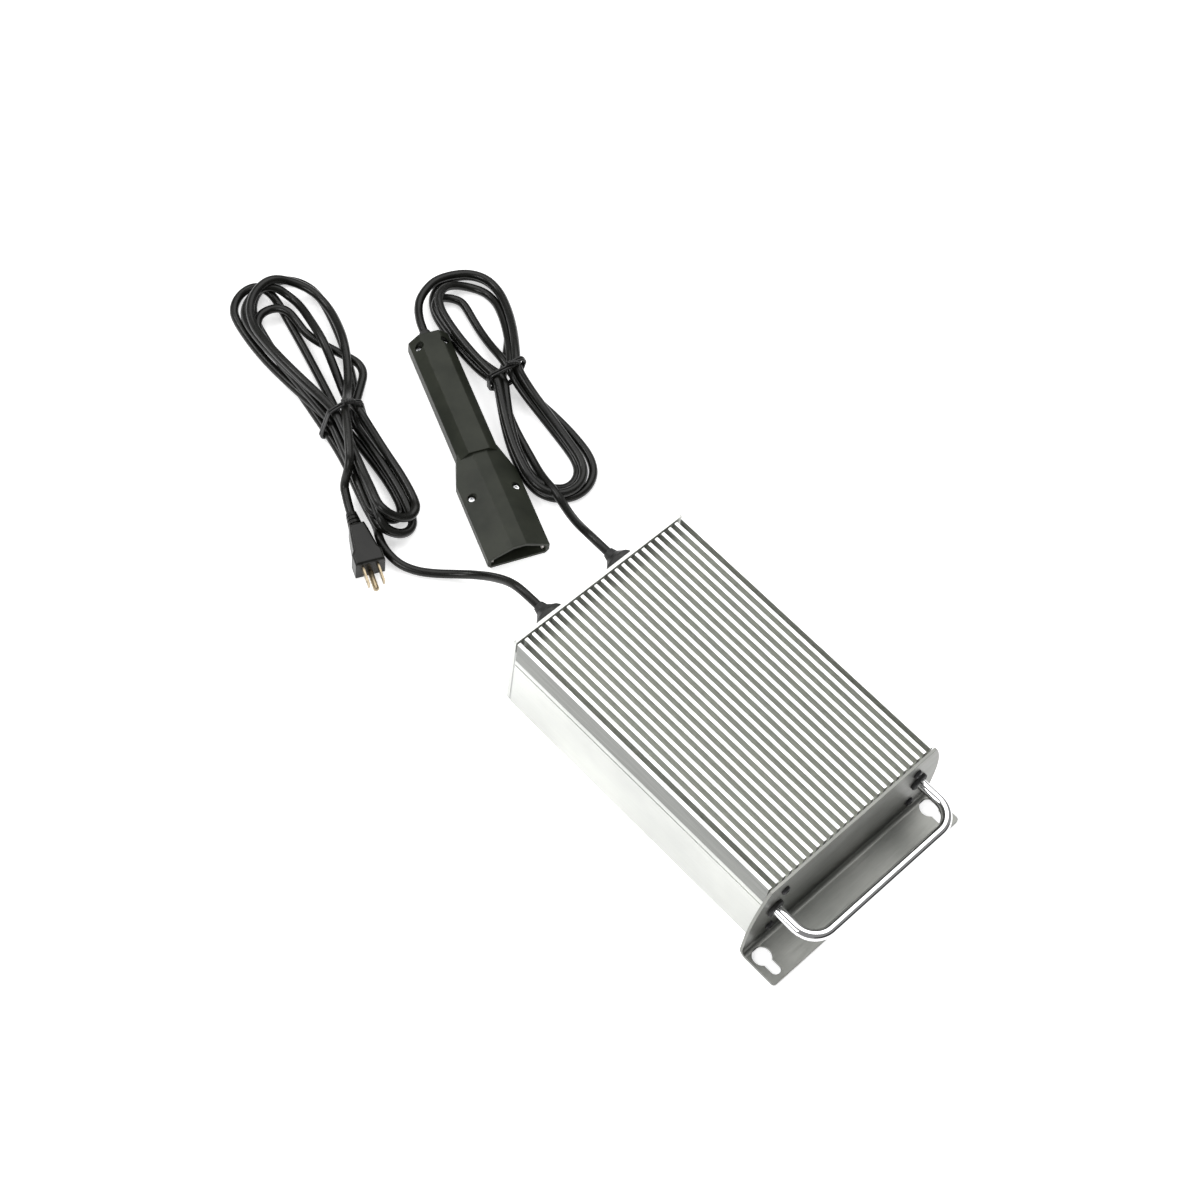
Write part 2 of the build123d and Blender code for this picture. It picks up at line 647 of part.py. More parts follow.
def output_capacitors():
    return [
        Pos(48 - i * 20, BODY_MID_Y - 92, BOARD_TOP)
        * fillet(Cylinder(8, 30, align=(Align.CENTER, Align.CENTER, Align.MIN)).edges(), 1)
        for i in range(4)
    ]


def terminal_block(x, ways):
    """A row of screw terminals that takes one lead's wires."""
    width = ways * TERMINAL_PITCH + 3
    block = box(x - width / 2, x + width / 2, TERMINAL_Y - 7, TERMINAL_Y + 7, BOARD_TOP, TERMINAL_TOP)
    block = chamfer(block.edges().filter_by(Axis.X).group_by(Axis.Z)[-1], 2.5)
    for i in range(ways):
        way_x = x + (i - (ways - 1) / 2) * TERMINAL_PITCH
        block -= box(way_x - 3, way_x + 3, TERMINAL_Y - 8, TERMINAL_Y - 2, BOARD_TOP + 3, BOARD_TOP + 9)
    return block


def input_fuse():
    """A glass fuse between two clips: the two clips and the tube are separate solids."""
    x, y, z = -34.0, BODY_MID_Y + 84.0, BOARD_TOP + 7.0
    tube = rod((x - 10, y, z), (1, 0, 0), 2.6, 20)
    clips = [box(cx - 3, cx + 3, y - 4, y + 4, BOARD_TOP, BOARD_TOP + 4.4) for cx in (x - 7, x + 7)]
    return [tube, *clips]


def bridge_rectifier():
    x, y = 60.0, BODY_MID_Y + 62.0
    package = box(x - 3.0, x + 3.0, y - 15, y + 15, BOARD_TOP + 4, BOARD_TOP + 24)
    package = chamfer(package.edges().filter_by(Axis.X).group_by(Axis.Z)[-1].sort_by(Axis.Y)[0], 3)
    for i in range(4):
        leg_y = y - 11.25 + 7.5 * i
        package += box(x - 0.5, x + 0.5, leg_y - 0.6, leg_y + 0.6, BOARD_TOP, BOARD_TOP + 4)
    return package


def output_relay():
    relay = box(24, 52, BODY_MID_Y - 62, BODY_MID_Y - 46, BOARD_TOP, BOARD_TOP + 24)
    return fillet(relay.edges().filter_by(Axis.Z), 1.5)


# ---------------------------------------------------------------- tied leads


def soft_block(points, height):
    """The outer shape of a tied bundle of cord, with its upper edge eased."""
    block = outline_plate(points, height)
    return chamfer(block.edges().group_by(Axis.Z)[-1], 5)


def tie(place, axis, height):
    """A twisted wire tie: a flat band round a bundle, seen as a ridge over it."""
    (x, y), half_w = place
    angle = math.degrees(math.atan2(axis[1], axis[0])) - 90
    outer = Rectangle(2 * half_w + 3, 2.0)
    band = extrude(outer, 1.2)
    return Pos(x, y, height) * Rot(0, 0, angle) * band


# ---------------------------------------------------------------- AC plug


def plug_plane():
    """X runs from the plug's front face to its cord, and the origin is on the floor."""
    dx, dy = PLUG_REAR[0] - PLUG_FRONT[0], PLUG_REAR[1] - PLUG_FRONT[1]
    return Plane(origin=(*PLUG_FRONT, 0), x_dir=(dx, dy, 0), z_dir=(0, 0, 1))


def plug_length():
    return math.dist(PLUG_REAR, PLUG_FRONT)


def ac_plug_body():
    """The moulded plug: a broad face, a waisted grip and a tapered neck round the cord."""
    length = plug_length()
    half = PLUG_W / 2
    outline = Polyline(
        (0, -half), (11, -half), (15, -half + 2.2), (length - 8, -half + 4.5), (length, -6.5),
        (length, 6.5), (length - 8, half - 4.5), (15, half - 2.2), (11, half), (0, half), close=True,
    )
    body = extrude(make_face(outline), PLUG_H)
    body = fillet(body.edges().group_by(Axis.Z)[-1], 2.5)
    neck_z = PLUG_H / 2
    neck = Plane(origin=(length, 0, neck_z), z_dir=(1, 0, 0)) * Cone(
        6.4, 4.6, PLUG_NECK_L, align=(Align.CENTER, Align.CENTER, Align.MIN)
    )
    grooves = [
        Plane(origin=(length + 3 + 4 * i, 0, neck_z), z_dir=(1, 0, 0)) * (Cylinder(8, 1.2) - Cylinder(4.2, 1.2))
        for i in range(3)
    ]
    body = body + neck - grooves
    return plug_plane() * body


def ac_plug_blades():
    """Two flat blades with their tip holes."""
    blades = []
    for side in (-1, 1):
        blade = box(-17, 4, side * 6.35 - 0.75, side * 6.35 + 0.75, PLUG_H / 2 - 1, PLUG_H / 2 + 5.3)
        blade -= rod((-13.5, side * 6.35 - 2, PLUG_H / 2 + 2.1), (0, 1, 0), 1.6, 4)
        blades.append(plug_plane() * blade)
    return blades


def ac_plug_ground_pin():
    pin = rod((-18, 0, PLUG_H / 2 - 6.2), (1, 0, 0), 2.4, 22)
    pin = chamfer(pin.edges().filter_by(GeomType.CIRCLE).sort_by(Axis.X)[0], 1)
    return plug_plane() * pin


# ---------------------------------------------------------------- DC connector


def connector_plane():
    """X runs from the mouth to the cord, Y to the left of that, and the origin is on the floor."""
    return Plane(origin=(*CONN_MOUTH, 0), x_dir=(*CONN_DIR, 0), z_dir=(0, 0, 1))


def connector_solid():
    """The whole outside of the connector: a ridged head, tapered shoulders and a bevelled grip."""
    head_half, grip_half, ridge_half = HEAD_W / 2, GRIP_W / 2, RIDGE_W / 2
    head_profile = Polyline(
        (-head_half + 3, 0), (head_half - 3, 0), (head_half, 4), (head_half, HEAD_EDGE_Z),
        (ridge_half, HEAD_H), (-ridge_half, HEAD_H), (-head_half, HEAD_EDGE_Z), (-head_half, 4), close=True,
    )
    head = extrude(Plane.YZ * make_face(head_profile), HEAD_L)
    plan = Polyline(
        (0, -head_half), (HEAD_L - HEAD_TAPER_L, -head_half), (HEAD_L, -grip_half),
        (HEAD_L, grip_half), (HEAD_L - HEAD_TAPER_L, head_half), (0, head_half), close=True,
    )
    head = head & extrude(make_face(plan), HEAD_H)
    grip_profile = Polyline(
        (-grip_half + 4, 0), (grip_half - 4, 0), (grip_half, 4), (grip_half, GRIP_H - GRIP_BEVEL),
        (grip_half - GRIP_BEVEL, GRIP_H), (-grip_half + GRIP_BEVEL, GRIP_H),
        (-grip_half, GRIP_H - GRIP_BEVEL), (-grip_half, 4), close=True,
    )
    grip = extrude(Plane.YZ.offset(HEAD_L - 6) * make_face(grip_profile), CONN_L - HEAD_L + 6)
    grip = fillet(grip.edges().filter_by(Axis.X), 1.8)
    whole = head + grip
    return whole


def connector_screw_seats():
    """The point under each screw's head."""
    return [(x, y, HEAD_SCREW_SEAT_Z) for x, y in HEAD_SCREWS] + [
        (x, y, GRIP_SCREW_SEAT_Z) for x, y in GRIP_SCREWS
    ]


def connector_hollow():
    """What is cut from the shells: the mouth, the carrier's seat, the cord's way and the screw holes."""
    half, ridge_half = HEAD_W / 2 - SHELL_T, RIDGE_W / 2 - 1
    mouth_profile = Polyline(
        (-half, SHELL_T), (half, SHELL_T), (half, HEAD_EDGE_Z - 1.5), (ridge_half, HEAD_H - SHELL_T),
        (-ridge_half, HEAD_H - SHELL_T), (-half, HEAD_EDGE_Z - 1.5), close=True,
    )
    mouth = extrude(Plane.YZ * make_face(mouth_profile), MOUTH_DEPTH)
    seat = box(MOUTH_DEPTH, SEAT_END, -SEAT_W / 2, SEAT_W / 2, SHELL_T, SEAT_TOP_Z)
    way = rod((SEAT_END, 0, CONN_CORD_Z - 2.0), (1, 0, 0), CORD_R + 0.5, CONN_L - SEAT_END)
    grommet_seat = rod((CONN_L - GROMMET_L, 0, CONN_CORD_Z), (1, 0, 0), GROMMET_R, GROMMET_L + 1)
    hollows = [mouth, seat, way, grommet_seat]
    for x, y, seat_z in connector_screw_seats():
        hollows.append(rod((x, y, seat_z), (0, 0, 1), 3.6, HEAD_H))
        hollows.append(rod((x, y, 1.5), (0, 0, 1), 1.7, HEAD_H))
    return hollows


def connector_shells():
    """(lower, upper) half shells."""
    whole = connector_solid() - connector_hollow()
    lower = whole & box(-1, CONN_L + 1, -HEAD_W, HEAD_W, -1, CONN_SPLIT_Z)
    upper = whole & box(-1, CONN_L + 1, -HEAD_W, HEAD_W, CONN_SPLIT_Z, HEAD_H + GRIP_H)
    return connector_plane() * lower, connector_plane() * upper


def dc_contact_carrier():
    """The insulator behind the mouth, with a slot for each contact."""
    gap = 0.2
    half = SEAT_W / 2 - gap
    carrier = box(MOUTH_DEPTH, SEAT_END - gap, -half, half, SHELL_T + gap, SEAT_TOP_Z - gap)
    z0, z1 = contact_heights()
    for side in (-1, 1):
        carrier -= box(MOUTH_DEPTH, SEAT_END, side * 9 - 1.2, side * 9 + 1.2, z0 - gap, z1 + gap)
    return connector_plane() * carrier


def contact_heights():
    """The lower and upper edge of the flat contacts."""
    return SHELL_T + 1.2, HEAD_EDGE_Z - 2.5


def dc_contacts():
    """Two flat spring contacts: held in the carrier, stepped out to the mouth's side walls."""
    z0, z1 = contact_heights()
    outer = HEAD_W / 2 - SHELL_T - 0.6
    blades = []
    for side in (-1, 1):
        rear = box(MOUTH_DEPTH - 1, SEAT_END - 4, side * 9 - 1, side * 9 + 1, z0, z1)
        step_y0, step_y1 = sorted((side * 8, side * outer))
        step = box(MOUTH_DEPTH - 3, MOUTH_DEPTH - 1, step_y0, step_y1, z0, z1)
        front_y0, front_y1 = sorted((side * (outer - 2.4), side * outer))
        front = box(2.5, MOUTH_DEPTH - 2, front_y0, front_y1, z0, z1)
        blades.append(connector_plane() * (rear + step + front))
    return blades


def dc_connector_screws():
    plane = connector_plane()
    return [
        plane * screw((x, y, z), (0, 0, -1), 3.3, 1.9, 1.6, z - 2)
        for x, y, z in connector_screw_seats()
    ]


def dc_cord_grommet():
    """The tapered rubber sleeve where the lead enters the grip."""
    inside = rod((CONN_L - GROMMET_L, 0, CONN_CORD_Z), (1, 0, 0), GROMMET_R, GROMMET_L)
    outside = Plane(origin=(CONN_L, 0, CONN_CORD_Z), z_dir=(1, 0, 0)) * Cone(
        6.6, 4.8, 9, align=(Align.CENTER, Align.CENTER, Align.MIN)
    )
    return connector_plane() * (inside + outside)


# ---------------------------------------------------------------- write every node

os.makedirs("parts", exist_ok=True)

save("heatsink_cover", heatsink_cover())
save("cover_seals", *cover_seals())
save("base_tray", base_tray())
screw_openings = [(x, z, SCREW_HOLE_R) for x, z in end_screw_places()]
nut_openings = [(side * HANDLE_X, HANDLE_Z, 6.5) for side in (-1, 1)]
save("front_gasket", end_gasket(FRONT_Y + BRACKET_T, screw_openings + nut_openings))
save("rear_gasket", end_gasket(BODY_Y1, screw_openings))
save("front_bracket", front_bracket())
save("rear_panel", rear_panel())
save("status_lens", status_lens())
save("carry_handle", carry_handle())
save("handle_washers", *handle_washers())
save("handle_nuts", *handle_nuts())
save("bracket_screws", *end_screws(FRONT_Y, 1))
save("rear_panel_screws", *end_screws(REAR_Y, -1))

for prefix, x, block_x, wires in (("ac", AC_X, AC_X + 6, 3), ("dc", DC_X, DC_X - 4, 2)):
    save(f"{prefix}_gland_body", gland_body(x))
    save(f"{prefix}_gland_washer", gland_washer(x))
    save(f"{prefix}_gland_locknut", gland_locknut(x))
    save(f"{prefix}_gland_dome_nut", gland_dome_nut(x))
    save(f"{prefix}_gland_seal", gland_seal(x))
    save(f"{prefix}_inner_cable", *inner_cable(x, block_x, wires))
    save(f"{prefix}_terminal_block", terminal_block(block_x, wires))

save("main_circuit_board", main_circuit_board())
save("board_standoffs", *board_standoffs())
save("board_screws", *board_screws())
save("heat_spreader", heat_spreader())
save("thermal_pad", thermal_pad())
save("power_transistors", *power_transistors())
save("transistor_clamp_bar", transistor_clamp_bar())
save("clamp_screws", *clamp_screws())
core, winding = transformer()
save("transformer_core", core)
save("transformer_winding", winding)
inductor_core, inductor_loops = wound_ring(0.0, BODY_MID_Y - 50.0, 19.0, 10.0, 12.0, 16, 0.9)
save("pfc_inductor_core", inductor_core)
save("pfc_inductor_winding", *inductor_loops)
save("bulk_capacitors", *bulk_capacitors())
save("output_capacitors", *output_capacitors())
save("input_fuse", *input_fuse())
save("bridge_rectifier", bridge_rectifier())
save("output_relay", output_relay())

hank_axis = (0.32, 0.95)
loops_axis = (0.45, 0.89)
save("ac_cord", lead("ac_cord", AC_ROUTE, CORD_R))
save("ac_cord_hank", soft_block(HANK_OUTLINE, HANK_H))
save("ac_hank_tie", tie(HANK_TIE, hank_axis, HANK_H))
blades, ground_pin = ac_plug_blades(), ac_plug_ground_pin()
save("ac_plug_body", ac_plug_body() - [*blades, ground_pin])
save("ac_plug_blades", *blades)
save("ac_plug_ground_pin", ground_pin)

save("dc_cord", lead("dc_cord", DC_ROUTE, CORD_R))
save("dc_cord_loops", soft_block(LOOPS_OUTLINE, LOOPS_H))
save("dc_loops_tie", tie(LOOPS_TIE, loops_axis, LOOPS_H))
save("dc_cord_tail", lead("dc_cord_tail", TAIL_ROUTE, CORD_R))
lower_shell, upper_shell = connector_shells()
save("dc_connector_lower_shell", lower_shell)
save("dc_connector_upper_shell", upper_shell)
save("dc_contact_carrier", dc_contact_carrier())
save("dc_contacts", *dc_contacts())
save("dc_connector_screws", *dc_connector_screws())
save("dc_cord_grommet", dc_cord_grommet())
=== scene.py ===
import math

import bmesh
import bpy
import numpy as np
from mathutils import Matrix, Vector


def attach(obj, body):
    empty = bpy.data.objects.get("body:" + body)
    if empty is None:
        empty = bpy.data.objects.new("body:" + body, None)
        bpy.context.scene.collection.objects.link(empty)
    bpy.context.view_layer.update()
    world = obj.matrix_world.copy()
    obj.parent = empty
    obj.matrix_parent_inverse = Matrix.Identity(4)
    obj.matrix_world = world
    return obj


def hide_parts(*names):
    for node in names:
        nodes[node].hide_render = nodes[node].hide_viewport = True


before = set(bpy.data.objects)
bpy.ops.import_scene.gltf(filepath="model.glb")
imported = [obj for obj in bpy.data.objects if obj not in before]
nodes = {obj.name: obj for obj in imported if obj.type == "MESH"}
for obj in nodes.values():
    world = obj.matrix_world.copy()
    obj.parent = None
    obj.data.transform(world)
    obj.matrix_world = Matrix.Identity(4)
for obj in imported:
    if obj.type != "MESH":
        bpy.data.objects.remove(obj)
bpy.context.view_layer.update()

MM = 0.001


def add_object(name, data):
    """A new object in the scene's collection."""
    obj = bpy.data.objects.new(name, data)
    bpy.context.scene.collection.objects.link(obj)
    return obj


# ---------------------------------------------------------------- materials


def new_material(name):
    """An empty node material: (material, node tree, principled shader)."""
    material = bpy.data.materials.new(name)
    material.use_nodes = True
    tree = material.node_tree
    return material, tree, tree.nodes["Principled BSDF"]


def object_coords(tree, scale=(1, 1, 1)):
    """Object coordinates in metres, multiplied by scale."""
    coords = tree.nodes.new("ShaderNodeTexCoord")
    mapping = tree.nodes.new("ShaderNodeMapping")
    mapping.inputs["Scale"].default_value = scale
    tree.links.new(coords.outputs["Object"], mapping.inputs["Vector"])
    return mapping.outputs["Vector"]


def noise(tree, vector, scale, detail=4.0, roughness=0.55):
    """A noise factor, mostly between 0.3 and 0.7."""
    node = tree.nodes.new("ShaderNodeTexNoise")
    node.inputs["Scale"].default_value = scale
    node.inputs["Detail"].default_value = detail
    node.inputs["Roughness"].default_value = roughness
    tree.links.new(vector, node.inputs["Vector"])
    return node.outputs["Fac"]


def ramp(tree, factor, stops):
    """A colour ramp: stops are (position, (r, g, b))."""
    node = tree.nodes.new("ShaderNodeValToRGB")
    elements = node.color_ramp.elements
    while len(elements) < len(stops):
        elements.new(0.5)
    for element, (position, colour) in zip(elements, stops):
        element.position = position
        element.color = (*colour, 1.0)
    tree.links.new(factor, node.inputs["Fac"])
    return node.outputs["Color"]


def spread(tree, factor, low, high):
    """A factor mapped from 0.3..0.7 to low..high."""
    node = tree.nodes.new("ShaderNodeMapRange")
    node.inputs["From Min"].default_value = 0.3
    node.inputs["From Max"].default_value = 0.7
    node.inputs["To Min"].default_value = low
    node.inputs["To Max"].default_value = high
    tree.links.new(factor, node.inputs["Value"])
    return node.outputs["Result"]


def surface(name, colours, rough, metallic=0.0, grain=(1, 1, 1), grain_scale=400.0, bump=0.1,
            bump_depth=0.0002, patch_scale=18.0, edge=0.0004, coat=0.0, sheen=0.0, specular=0.5):
    """A procedural finish: patchy colour, uneven gloss, a fine grain and softly rounded edges."""
    material, tree, shader = new_material(name)
    links = tree.links
    patches = noise(tree, object_coords(tree), patch_scale, 3.0)
    fine = noise(tree, object_coords(tree, grain), grain_scale, 5.0, 0.6)
    links.new(ramp(tree, patches, [(0.35, colours[0]), (0.65, colours[1])]), shader.inputs["Base Color"])
    links.new(spread(tree, fine, *rough), shader.inputs["Roughness"])
    shader.inputs["Metallic"].default_value = metallic
    shader.inputs["Coat Weight"].default_value = coat
    shader.inputs["Coat Roughness"].default_value = 0.25
    shader.inputs["Sheen Weight"].default_value = sheen
    shader.inputs["Specular IOR Level"].default_value = specular
    relief = tree.nodes.new("ShaderNodeBump")
    relief.inputs["Strength"].default_value = bump
    relief.inputs["Distance"].default_value = bump_depth
    links.new(fine, relief.inputs["Height"])
    if edge:
        rounded = tree.nodes.new("ShaderNodeBevel")
        rounded.samples = 4
        rounded.inputs["Radius"].default_value = edge
        links.new(rounded.outputs["Normal"], relief.inputs["Normal"])
    links.new(relief.outputs["Normal"], shader.inputs["Normal"])
    return material


LENGTHWISE = (9.0, 0.25, 9.0)  # extrusion lines run along y
CROSSWISE = (0.25, 9.0, 9.0)  # rolled sheet lines run along x

fin_metal = surface("fin_aluminium", ((0.80, 0.81, 0.795), (0.88, 0.885, 0.875)), (0.30, 0.48), 0.9,
                    LENGTHWISE, 160.0, 0.25, 0.0002, 12.0, 0.00025)
tray_metal = surface("tray_aluminium", ((0.62, 0.63, 0.61), (0.72, 0.73, 0.70)), (0.32, 0.52), 0.85,
                     LENGTHWISE, 160.0, 0.3, 0.0002, 10.0, 0.0005)
bracket_metal = surface("bracket_metal", ((0.21, 0.215, 0.20), (0.27, 0.272, 0.255)), (0.30, 0.44), 0.9,
                        CROSSWISE, 140.0, 0.25, 0.0002, 14.0, 0.0005)
chrome = surface("handle_chrome", ((0.86, 0.865, 0.87), (0.92, 0.92, 0.925)), (0.05, 0.11), 1.0,
                 (1, 1, 1), 300.0, 0.04, 0.0001, 30.0, 0.0)
zinc = surface("zinc_steel", ((0.68, 0.69, 0.70), (0.80, 0.80, 0.81)), (0.22, 0.38), 1.0,
               (1, 1, 1), 500.0, 0.15, 0.0001, 90.0, 0.0003)
black_steel = surface("black_steel", ((0.018, 0.018, 0.019), (0.04, 0.04, 0.042)), (0.32, 0.5), 0.6,
                      (1, 1, 1), 700.0, 0.2, 0.0001, 90.0, 0.0003)
rubber = surface("black_rubber", ((0.008, 0.008, 0.008), (0.018, 0.018, 0.017)), (0.5, 0.72), 0.0,
                 (1, 1, 1), 900.0, 0.35, 0.0001, 60.0, 0.0003)
nylon = surface("black_nylon", ((0.008, 0.0085, 0.008), (0.017, 0.0175, 0.016)), (0.36, 0.52), 0.0,
                (1, 1, 1), 1100.0, 0.3, 0.0001, 60.0, 0.0004)
cord_skin = surface("cord_rubber", ((0.0035, 0.0037, 0.0031), (0.008, 0.0082, 0.0068)), (0.24, 0.36), 0.0,
                    (1, 1, 1), 900.0, 0.25, 0.0001, 40.0, 0.0, specular=0.30)
tie_skin = surface("tie_skin", ((0.005, 0.005, 0.005), (0.012, 0.012, 0.011)), (0.25, 0.4), 0.0,
                   (1, 1, 1), 900.0, 0.2, 0.0001, 60.0, 0.0)
plug_skin = surface("plug_rubber", ((0.004, 0.004, 0.0034), (0.009, 0.0088, 0.0075)), (0.26, 0.4), 0.0,
                    (1, 1, 1), 1100.0, 0.3, 0.0001, 60.0, 0.0006, specular=0.3)
shell_plastic = surface("connector_plastic", ((0.016, 0.0185, 0.013), (0.030, 0.033, 0.024)), (0.36, 0.5), 0.0,
                        (1, 1, 1), 1500.0, 0.45, 0.00012, 25.0, 0.0007, specular=0.2)
dull_brass = surface("plug_brass", ((0.36, 0.29, 0.19), (0.50, 0.42, 0.29)), (0.28, 0.42), 1.0,
                     (1, 1, 1), 600.0, 0.15, 0.0001, 120.0, 0.0003)
silver = surface("contact_silver", ((0.84, 0.79, 0.76), (0.93, 0.90, 0.87)), (0.2, 0.34), 0.35,
                 (1, 1, 1), 600.0, 0.1, 0.0001, 120.0, 0.0003)
board_green = surface("board_green", ((0.010, 0.12, 0.05), (0.02, 0.17, 0.07)), (0.25, 0.4), 0.0,
                      (1, 1, 1), 800.0, 0.2, 0.0001, 60.0, 0.0, coat=0.3)
component = surface("component_black", ((0.02, 0.02, 0.022), (0.045, 0.045, 0.05)), (0.4, 0.6))
ferrite = surface("ferrite", ((0.035, 0.035, 0.04), (0.07, 0.07, 0.075)), (0.45, 0.7))
tape = surface("winding_tape", ((0.55, 0.42, 0.07), (0.68, 0.54, 0.12)), (0.3, 0.45), coat=0.2)
copper = surface("copper_wire", ((0.50, 0.18, 0.07), (0.62, 0.26, 0.11)), (0.2, 0.35), 0.9)
brass = surface("brass", ((0.62, 0.46, 0.18), (0.74, 0.58, 0.28)), (0.22, 0.38), 1.0)
silicone = surface("grey_silicone", ((0.55, 0.56, 0.55), (0.64, 0.65, 0.64)), (0.6, 0.8))
terminal = surface("terminal_green", ((0.02, 0.18, 0.07), (0.04, 0.24, 0.10)), (0.4, 0.55))
fuse_glass, _, glass_shader = new_material("fuse_glass")
glass_shader.inputs["Base Color"].default_value = (0.9, 0.93, 0.91, 1)
glass_shader.inputs["Roughness"].default_value = 0.05
glass_shader.inputs["Transmission Weight"].default_value = 0.8
lens_green = surface("green_lens", ((0.03, 0.32, 0.08), (0.05, 0.42, 0.12)), (0.08, 0.18), coat=0.6)



def paint_fin_shade(material, height, half_width, body, sides):
    """Painted light and shade on the fins: the tips above height keep the plain colour, the fins and slots below it
    get a darker painted shade, and the outer sides beyond half_width a darker painted shade still.
    """
    tree = material.node_tree
    shader = tree.nodes["Principled BSDF"]
    tips = shader.inputs["Base Color"].links[0].from_socket
    split = tree.nodes.new("ShaderNodeSeparateXYZ")
    tree.links.new(object_coords(tree), split.inputs["Vector"])
    step = tree.nodes.new("ShaderNodeMapRange")
    step.inputs["From Min"].default_value = height - 0.0004
    step.inputs["From Max"].default_value = height
    tree.links.new(split.outputs["Z"], step.inputs["Value"])
    mix = tree.nodes.new("ShaderNodeMix")
    mix.data_type = "RGBA"
    # painted shade: the fins and slots below the tips are coloured darker than the tips
    slot_shade_colour = ramp(tree, noise(tree, object_coords(tree, LENGTHWISE), 40.0), [(0.3, body[0]), (0.7, body[1])])
    # painted shade: the upper outer sides beyond half_width are coloured dark grey
    outside = tree.nodes.new("ShaderNodeMath")
    outside.operation = "ABSOLUTE"
    tree.links.new(split.outputs["X"], outside.inputs[0])
    side_shade_mask = tree.nodes.new("ShaderNodeMapRange")
    side_shade_mask.inputs["From Min"].default_value = half_width - 0.0004
    side_shade_mask.inputs["From Max"].default_value = half_width - 0.0001
    tree.links.new(outside.outputs["Value"], side_shade_mask.inputs["Value"])
    lower = tree.nodes.new("ShaderNodeMix")
    lower.data_type = "RGBA"
    side_shade_colour = ramp(tree, noise(tree, object_coords(tree, LENGTHWISE), 60.0), [(0.3, sides[0]), (0.7, sides[1])])
    tree.links.new(side_shade_mask.outputs["Result"], lower.inputs["Factor"])
    tree.links.new(slot_shade_colour, lower.inputs["A"])
    tree.links.new(side_shade_colour, lower.inputs["B"])
    tree.links.new(step.outputs["Result"], mix.inputs["Factor"])
    tree.links.new(lower.outputs["Result"], mix.inputs["A"])
    tree.links.new(tips, mix.inputs["B"])
    tree.links.new(mix.outputs["Result"], shader.inputs["Base Color"])


# painted shade on the heatsink: slots a little darker than the fin tips, upper outer sides dark grey
paint_fin_shade(fin_metal, 0.0898, 0.09, ((0.72, 0.73, 0.69), (0.82, 0.83, 0.79)),
       ((0.20, 0.205, 0.195), (0.27, 0.275, 0.26)))

FINISHES = {
    fin_metal: ["heatsink_cover"],
    tray_metal: ["base_tray", "rear_panel", "heat_spreader"],
    bracket_metal: ["front_bracket"],
    chrome: ["carry_handle"],
    zinc: ["handle_nuts", "board_screws", "transistor_clamp_bar", "clamp_screws", "dc_connector_screws"],
    black_steel: ["bracket_screws", "rear_panel_screws"],
    rubber: ["handle_washers", "ac_gland_washer", "dc_gland_washer",
             "ac_gland_seal", "dc_gland_seal", "dc_cord_grommet"],
    nylon: ["ac_gland_body", "dc_gland_body", "ac_gland_locknut", "dc_gland_locknut", "ac_gland_dome_nut",
            "dc_gland_dome_nut"],
    cord_skin: ["ac_inner_cable", "dc_inner_cable"],
    plug_skin: ["ac_plug_body"],
    shell_plastic: ["dc_connector_lower_shell", "dc_connector_upper_shell"],
    dull_brass: ["ac_plug_blades", "ac_plug_ground_pin"],
    silver: ["dc_contacts"],
    board_green: ["main_circuit_board"],
    component: ["power_transistors", "bulk_capacitors", "output_capacitors", "bridge_rectifier", "output_relay",
                "dc_contact_carrier"],
    ferrite: ["transformer_core", "pfc_inductor_core"],
    tape: ["transformer_winding"],
    copper: ["pfc_inductor_winding"],
    brass: ["board_standoffs"],
    silicone: ["thermal_pad", "cover_seals", "front_gasket", "rear_gasket"],
    terminal: ["ac_terminal_block", "dc_terminal_block"],
    fuse_glass: ["input_fuse"],
    lens_green: ["status_lens"],
}
for material, names in FINISHES.items():
    for name in names:
        nodes[name].data.materials.clear()
        nodes[name].data.materials.append(material)

# ---------------------------------------------------------------- cords

CORD_R = 3.75
CORD_D = 2 * CORD_R
FLOOR_CORD_Z = 4.0

AC_ROUTE = [
    (-33.5, 176.75, 45.0),
    (-33.5, 194.0, 45.0),
    (-33.0, 208.0, 40.2),
    (-32.8, 222.0, 29.0),
    (-34.0, 235.5, 17.5),
    (-39.0, 248.0, 9.5),
    (-47.5, 259.0, 5.5),
    (-57.3, 269.0, 4.0),
    (-67.2, 280.0, 4.0),
    (-73.8, 292.0, 4.6),
    (-76.0, 303.5, 6.0),
    (-75.4, 314.3, 8.0),
    (-72.2, 324.0, 9.5),
]
DC_ROUTE = [
    (43.5, 176.75, 45.0),
    (43.5, 190.0, 45.0),
    (45.3, 203.5, 41.5),
    (49.5, 217.0, 33.0),
    (55.8, 232.5, 23.4),
    (62.8, 248.6, 15.8),
]
TAIL_ROUTE = [
    (105.7, 476.3, 11.7),
    (101.0, 469.9, 12.2),
    (96.13, 461.86, 12.5),
    (92.72, 453.53, 12.5),
]


